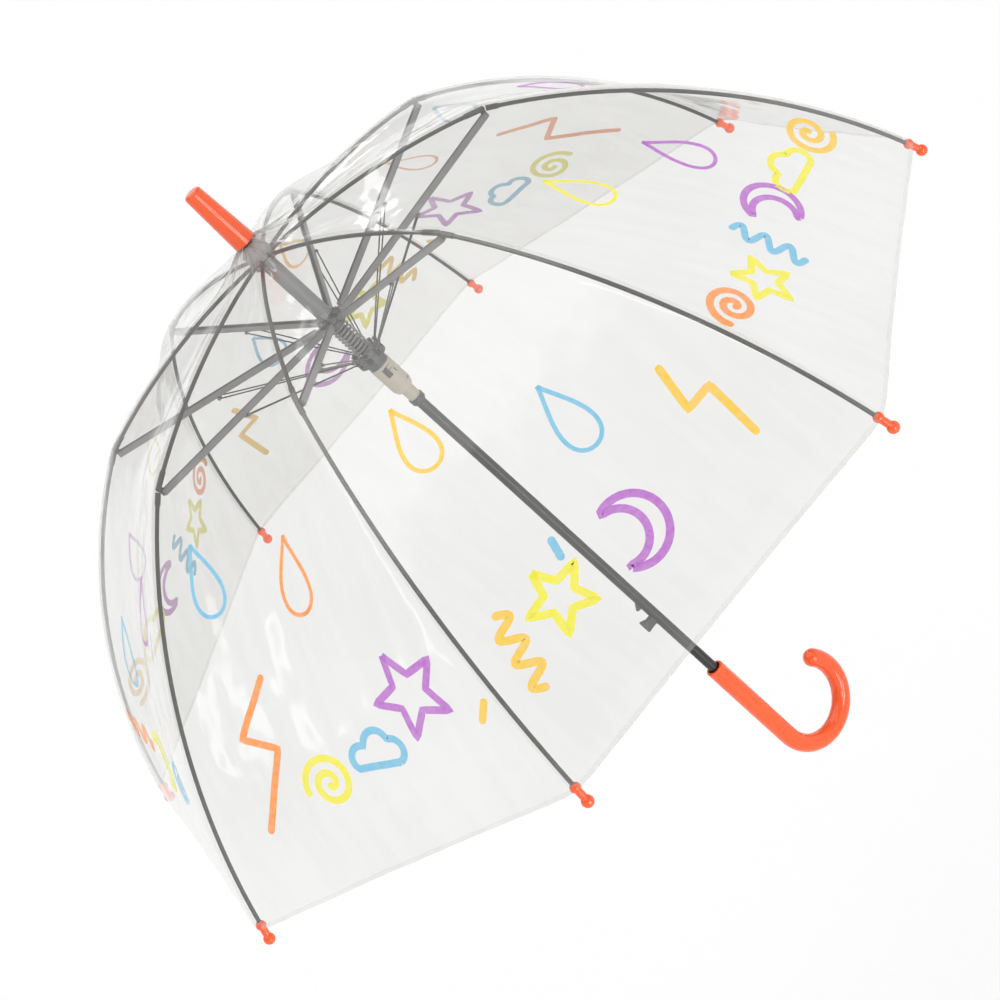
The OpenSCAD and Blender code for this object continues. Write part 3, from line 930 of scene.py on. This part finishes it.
class UMBRELLA_OT_spring(bpy.types.Operator):
    """Makes the opening spring between the hub and the runner"""
    bl_idname = "umbrella.spring"
    bl_label = "Opening spring"

    def execute(self, context):
        low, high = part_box("opening_spring")
        wire, turns = 0.8 * MM, 10
        radius = high.x - wire
        deselect()
        bpy.ops.mesh.primitive_circle_add(vertices=12, radius=wire, location=(radius, 0, low.z + wire),
                                          rotation=(math.pi / 2, 0, 0))
        bpy.ops.object.transform_apply(location=True, rotation=True, scale=True)
        piece = context.object
        screw = piece.modifiers.new("coil", "SCREW")
        screw.angle = 2 * math.pi * turns
        screw.screw_offset = high.z - low.z - 2 * wire
        screw.steps = screw.render_steps = 40 * turns
        screw.use_merge_vertices = True
        apply_all(piece)
        bpy.ops.object.mode_set(mode="EDIT")
        bpy.ops.mesh.select_all(action="SELECT")
        bpy.ops.mesh.fill_holes(sides=0)
        bpy.ops.object.mode_set(mode="OBJECT")
        settle("opening_coil", material("spring_wire"), "hub")
        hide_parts("opening_spring")
        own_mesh(piece)
        return {"FINISHED"}


class UMBRELLA_OT_rivets(bpy.types.Operator):
    """Makes the domed rivet heads where the stretchers meet the ribs and the links"""
    bl_idname = "umbrella.rivets"
    bl_label = "Rivet heads"

    def execute(self, context):
        for name, joint, radius, reach in (("stretcher_rivet", "stretcher_fold", 1.3 * MM, 2.35 * MM),
                                           ("link_rivet", "link_fold", 1.0 * MM, 3.3 * MM)):
            head = self.head(radius)
            for rib, side, side_name in halves():
                place = Vector(JOINTS[f"{joint}_{rib}"]["pos_m"])
                axis = Vector(JOINTS[f"{joint}_{rib}"]["axis"])
                deselect()
                head.select_set(True)
                context.view_layer.objects.active = head
                bpy.ops.object.duplicate(linked=False)
                copy = context.object
                copy.location = place + axis * side * reach
                copy.rotation_euler = (axis * side).to_track_quat("Z", "Y").to_euler()
                settle(f"{name}_{rib}_{side_name}", material("spring_wire"), f"stretcher_arm_{rib}")
            bpy.data.objects.remove(head)
        return {"FINISHED"}

    @staticmethod
    def head(radius):
        """One domed head at the origin, which every rivet of its size is copied from."""
        deselect()
        bpy.ops.mesh.primitive_cylinder_add(vertices=20, radius=radius, depth=0.6 * MM)
        piece = bpy.context.object
        bevel = piece.modifiers.new("dome", "BEVEL")
        bevel.width, bevel.segments = 0.28 * MM, 3
        apply_all(piece)
        return piece


class UMBRELLA_OT_runner_shade(bpy.types.Operator):
    """Makes two dark plates on the runner's sleeve, which are painted shade in its window and in a short slit
    """
    bl_idname = "umbrella.runner_window"
    bl_label = "Runner window"

    def execute(self, context):
        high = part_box("runner_sleeve")[1]
        radius = high.x
        # dark plates that are painted shade in the sleeve's window and slit
        for name, wide, tall, below, turn in (("runner_window", 4.2 * MM, 7.5 * MM, 6.5 * MM, -78),
                                              ("runner_slit", 1.0 * MM, 3.4 * MM, 9 * MM, -38)):
            angle = math.radians(turn)
            place = Vector((math.cos(angle), math.sin(angle), 0)) * (radius - 0.25 * MM)
            deselect()
            bpy.ops.mesh.primitive_cube_add(size=1, location=(place.x, place.y, high.z - below),
                                            rotation=(0, 0, angle), scale=(0.8 * MM, wide, tall))
            bpy.ops.object.transform_apply(location=True, rotation=True, scale=True)
            piece = context.object
            bevel = piece.modifiers.new("round", "BEVEL")
            bevel.width, bevel.segments = 0.3 * MM, 4
            apply_all(piece)
            settle(name, material("dark_moulding"), "runner")
        return {"FINISHED"}


# ---- finishes

CAD_FINISH = {
    "orange_gloss": ("handle", "ferrule", "rib_tip"),
    "black_paint": ("shaft_tube", "inner_rib", "outer_rib", "link", "catch"),
    "grey_paint": ("stretcher",),
    "dark_moulding": ("stretcher_hub", "runner_cup", "runner_collar", "release_button"),
    "pale_moulding": ("runner_sleeve",),
    "grey_moulding": ("top_sleeve", "crown_notch"),
    "spring_wire": ("opening_spring",),
}


class UMBRELLA_OT_finishes(bpy.types.Operator):
    """Gives every solid part of the frame its finish"""
    bl_idname = "umbrella.finishes"
    bl_label = "Finishes"

    def execute(self, context):
        for name, node in frame["nodes"].items():
            kind = name.rstrip("0123456789").rstrip("_")
            found = [finish for finish, kinds in CAD_FINISH.items() if kind in kinds]
            if not found:
                if kind == "canopy_panel":
                    continue
                raise RuntimeError(f"{name} has no finish")
            node.data.materials.clear()
            node.data.materials.append(material(found[0]))
        return {"FINISHED"}


# ---- stage

class UMBRELLA_OT_stage(bpy.types.Operator):
    """Sets the plain pale floor, the soft light and the camera"""
    bl_idname = "umbrella.stage"
    bl_label = "Stage"

    def execute(self, context):
        sizes = context.scene.umbrella_stage
        self.floor(sizes)
        self.light(context, sizes)
        self.camera(context, sizes)
        context.scene.view_settings.view_transform = "Standard"
        context.scene.cycles.transparent_max_bounces = 40
        return {"FINISHED"}

    @staticmethod
    def floor(sizes):
        deselect()
        bpy.ops.mesh.primitive_plane_add(size=60, location=(0, 0, cad_low.z - sizes.floor_drop))
        floor = bpy.context.object
        floor.name = "floor"
        s = Shader("pale_floor")
        tint = s.blend(s.noise(3, 3, 0.5), (0.975, 0.975, 0.975, 1), (0.985, 0.985, 0.985, 1))
        shader = s.node("ShaderNodeBsdfPrincipled", {
            "Base Color": tint, "Roughness": 0.9, "Specular IOR Level": 0.0})
        floor.data.materials.append(s.finish(shader.outputs["BSDF"]))

    @staticmethod
    def light(context, sizes):
        world = bpy.data.worlds.new("studio")
        context.scene.world = world
        world.use_nodes = True
        tree = world.node_tree
        height = tree.nodes.new("ShaderNodeSeparateXYZ")
        ramp = tree.nodes.new("ShaderNodeValToRGB")
        tree.links.new(tree.nodes.new("ShaderNodeTexCoord").outputs["Generated"], height.inputs[0])
        tree.links.new(height.outputs["Z"], ramp.inputs["Fac"])
        ramp.color_ramp.interpolation = "EASE"
        levels = ((0.16, sizes.horizon_light), (0.36, sizes.wall_light), (0.80, sizes.wall_light),
                  (0.90, sizes.ceiling_light))
        brightest = max(level for _, level in levels)
        while len(ramp.color_ramp.elements) < len(levels):
            ramp.color_ramp.elements.new(1)
        for element, (place, level) in zip(ramp.color_ramp.elements, levels):
            element.position = place
            element.color = (*[level / brightest] * 3, 1)
        tree.links.new(ramp.outputs["Color"], tree.nodes["Background"].inputs["Color"])
        tree.nodes["Background"].inputs["Strength"].default_value = brightest
        high = UMBRELLA_OT_stage.all_but("not_lit_by_high_strips", ("floor",))
        low = UMBRELLA_OT_stage.all_but("not_lit_by_low_strips", ("floor", "film", "seam", "hem", "print"))
        centre = (cad_low + cad_high) / 2
        away, above = 1.7, 1.5  # the high strips, from the middle of the object
        wide, tall = 0.12, 1.5
        around = [math.radians(-150) + 2 * math.pi * k / sizes.high_strips for k in range(sizes.high_strips)]
        strips = [(Vector((away * math.cos(angle), away * math.sin(angle), above)), sizes.strip_power, high)
                  for angle in around]
        strips += [(Vector((0.55 + 0.6 * k, -1.6, -0.5)), sizes.low_strip_power, low) for k in range(2)]
        for number, (place, power, receivers) in enumerate(strips):
            lamp = bpy.data.lights.new(f"strip_{number + 1}", "AREA")
            lamp.shape = "RECTANGLE"
            lamp.size, lamp.size_y, lamp.energy = wide, tall, power
            holder = bpy.data.objects.new(lamp.name, lamp)
            holder.location = centre + place
            holder.rotation_euler = place.to_track_quat("Z", "Y").to_euler()
            holder.visible_camera = False
            context.scene.collection.objects.link(holder)
            holder.light_linking.receiver_collection = receivers

    @staticmethod
    def all_but(name, kinds):
        """A collection that keeps a light off the pieces of these kinds."""
        spared = bpy.data.collections.new(name)
        for piece in bpy.context.scene.objects:
            if piece.type == "MESH" and piece.name.split("_")[0] in kinds:
                spared.objects.link(piece)
        for entry in spared.collection_objects:
            entry.light_linking.link_state = "EXCLUDE"
        return spared

    @staticmethod
    def camera(context, sizes):
        lens = bpy.data.cameras.new("camera")
        lens.sensor_width, lens.lens = 36, sizes.lens
        lens.clip_start, lens.clip_end = 0.05, 100
        holder = bpy.data.objects.new("camera", lens)
        place, aim = Vector(sizes.camera_place), Vector(sizes.camera_aim)
        upright = (place - aim).to_track_quat("Z", "Y")
        holder.location = place
        holder.rotation_mode = "QUATERNION"
        holder.rotation_quaternion = upright @ Quaternion((0, 0, 1), sizes.camera_roll)
        context.scene.collection.objects.link(holder)
        context.scene.camera = holder


# ---- panel

OPERATORS = (UMBRELLA_OT_film, UMBRELLA_OT_seams, UMBRELLA_OT_prints, UMBRELLA_OT_rings,
             UMBRELLA_OT_spring, UMBRELLA_OT_rivets, UMBRELLA_OT_runner_shade, UMBRELLA_OT_finishes,
             UMBRELLA_OT_stage)


class UMBRELLA_PT_sidebar(bpy.types.Panel):
    """Lists the steps that build the umbrella"""
    bl_idname = "UMBRELLA_PT_sidebar"
    bl_label = "Dome umbrella"
    bl_space_type = "VIEW_3D"
    bl_region_type = "UI"
    bl_category = "Umbrella"

    def draw(self, context):
        for operator in OPERATORS:
            self.layout.operator(operator.bl_idname)
        for name, group in SETTINGS.items():
            box = self.layout.box()
            box.label(text=group.__doc__)
            for key in group.__annotations__:
                box.prop(getattr(context.scene, name), key)


CLASSES = (*SETTINGS.values(), *OPERATORS, UMBRELLA_PT_sidebar)


def register():
    for cls in CLASSES:
        bpy.utils.register_class(cls)
    for name, group in SETTINGS.items():
        setattr(bpy.types.Scene, name, PointerProperty(type=group))


def unregister():
    for name in SETTINGS:
        delattr(bpy.types.Scene, name)
    for cls in reversed(CLASSES):
        bpy.utils.unregister_class(cls)


def main():
    register()
    bpy.ops.umbrella.film()
    bpy.ops.umbrella.seams()
    bpy.ops.umbrella.prints()
    bpy.ops.umbrella.rings()
    bpy.ops.umbrella.spring()
    bpy.ops.umbrella.rivets()
    bpy.ops.umbrella.runner_window()
    bpy.ops.umbrella.finishes()
    bpy.ops.umbrella.stage()
    declare_film()


if __name__ == "__main__":
    main()
